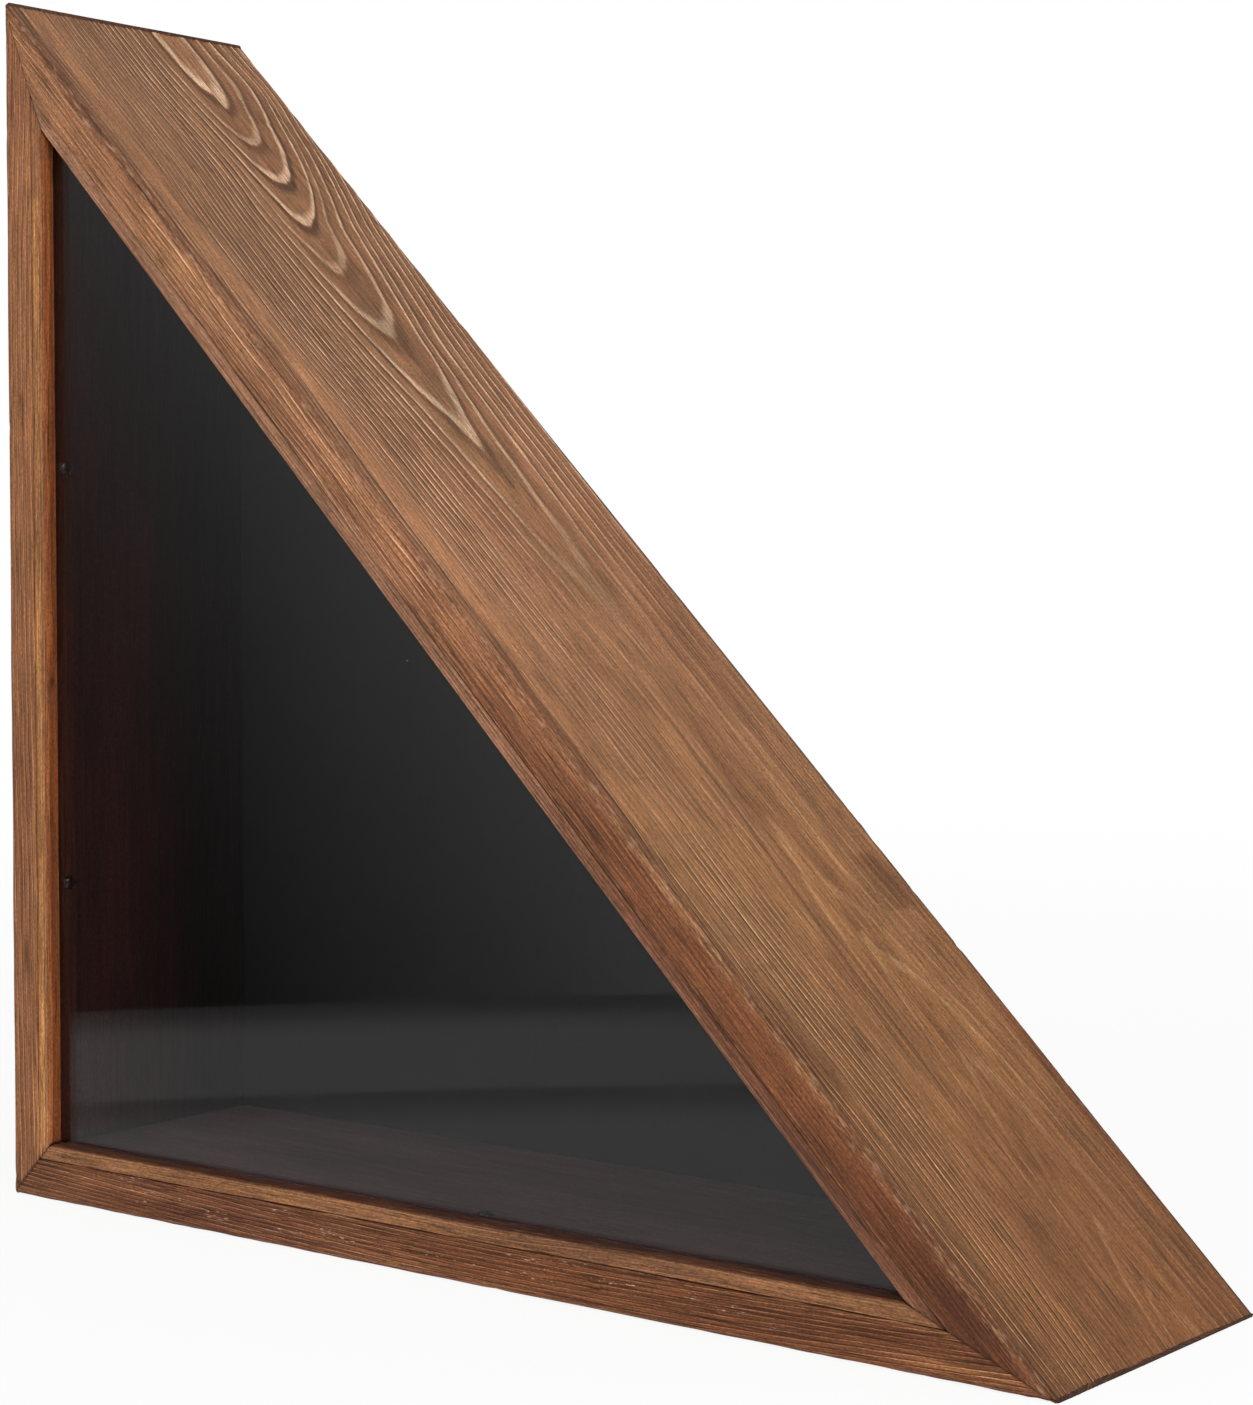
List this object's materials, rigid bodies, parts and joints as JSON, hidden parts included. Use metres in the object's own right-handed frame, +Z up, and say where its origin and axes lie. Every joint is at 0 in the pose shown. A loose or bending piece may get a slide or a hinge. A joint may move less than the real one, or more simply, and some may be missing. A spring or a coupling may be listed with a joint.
{
  "type": "folded flag display case",
  "caption": "Triangular stained-wood shadow box with mitred planks, a front pane between stops and spacers, and a felt-lined lift-out back held by turn buttons, for displaying a folded flag.",
  "frame": {"origin": "middle of the underside of the bottom plank, half way from front to back", "axes": "+X along the bottom plank away from the right-angled corner, +Y from the glazed front to the back, +Z up"},
  "size_m": [0.3, 0.086, 0.3],
  "materials": {
    "stained_wood": "stained softwood, wire-brushed, satin",
    "clear_pane": "polished clear",
    "golden_wood": "lighter stained softwood, satin",
    "inner_wood": "stained softwood, satin",
    "black_tack": "black",
    "black_felt": "matt felt",
    "backing_board": "matt board",
    "fibreboard": "smooth hardboard",
    "plated_steel": "zinc plated",
    "bare_steel": "bare"
  },
  "bodies": {
    "case": {"left_plank": "stained_wood", "bottom_plank": "stained_wood", "long_plank": "stained_wood", "left_front_stop": "golden_wood", "bottom_front_stop": "golden_wood", "long_front_stop": "golden_wood", "left_spacer": "inner_wood", "bottom_spacer": "inner_wood", "long_spacer": "inner_wood", "glass_pane": "clear_pane", "spacer_tacks": "black_tack", "turn_button_screws": "plated_steel", "corner_v_nails": "bare_steel", "mitre_brads": "bare_steel"},
    "back": {"back_panel": "fibreboard", "backing_pad": "backing_board", "felt_lining": "black_felt"},
    "turn_button_left_lower": {"turn_button_left_lower": "plated_steel"},
    "turn_button_left_upper": {"turn_button_left_upper": "plated_steel"},
    "turn_button_long_upper": {"turn_button_long_upper": "plated_steel"},
    "turn_button_long_lower": {"turn_button_long_lower": "plated_steel"},
    "turn_button_bottom_right": {"turn_button_bottom_right": "plated_steel"},
    "turn_button_bottom_left": {"turn_button_bottom_left": "plated_steel"}
  },
  "joints": [
    {"name": "turn_button_left_lower_swing", "type": "hinge", "parent": "case", "child": "turn_button_left_lower", "pos_m": [-0.1449, 0.0421, 0.072], "axis": [0, 1, 0], "continuous": true},
    {"name": "turn_button_left_upper_swing", "type": "hinge", "parent": "case", "child": "turn_button_left_upper", "pos_m": [-0.1449, 0.0421, 0.182], "axis": [0, 1, 0], "continuous": true},
    {"name": "turn_button_long_upper_swing", "type": "hinge", "parent": "case", "child": "turn_button_long_upper", "pos_m": [-0.07229, 0.0421, 0.21508], "axis": [0, 1, 0], "continuous": true},
    {"name": "turn_button_long_lower_swing", "type": "hinge", "parent": "case", "child": "turn_button_long_lower", "pos_m": [0.04792, 0.0421, 0.09487], "axis": [0, 1, 0], "continuous": true},
    {"name": "turn_button_bottom_right_swing", "type": "hinge", "parent": "case", "child": "turn_button_bottom_right", "pos_m": [0.052, 0.0421, 0.0051], "axis": [0, 1, 0], "range_deg": [0, 180]},
    {"name": "turn_button_bottom_left_swing", "type": "hinge", "parent": "case", "child": "turn_button_bottom_left", "pos_m": [-0.062, 0.0421, 0.0051], "axis": [0, 1, 0], "range_deg": [0, 180]},
    {"name": "back_lift_out", "type": "slide", "parent": "case", "child": "back", "axis": [0, 1, 0], "range_m": [0, 0.06]}
  ]
}
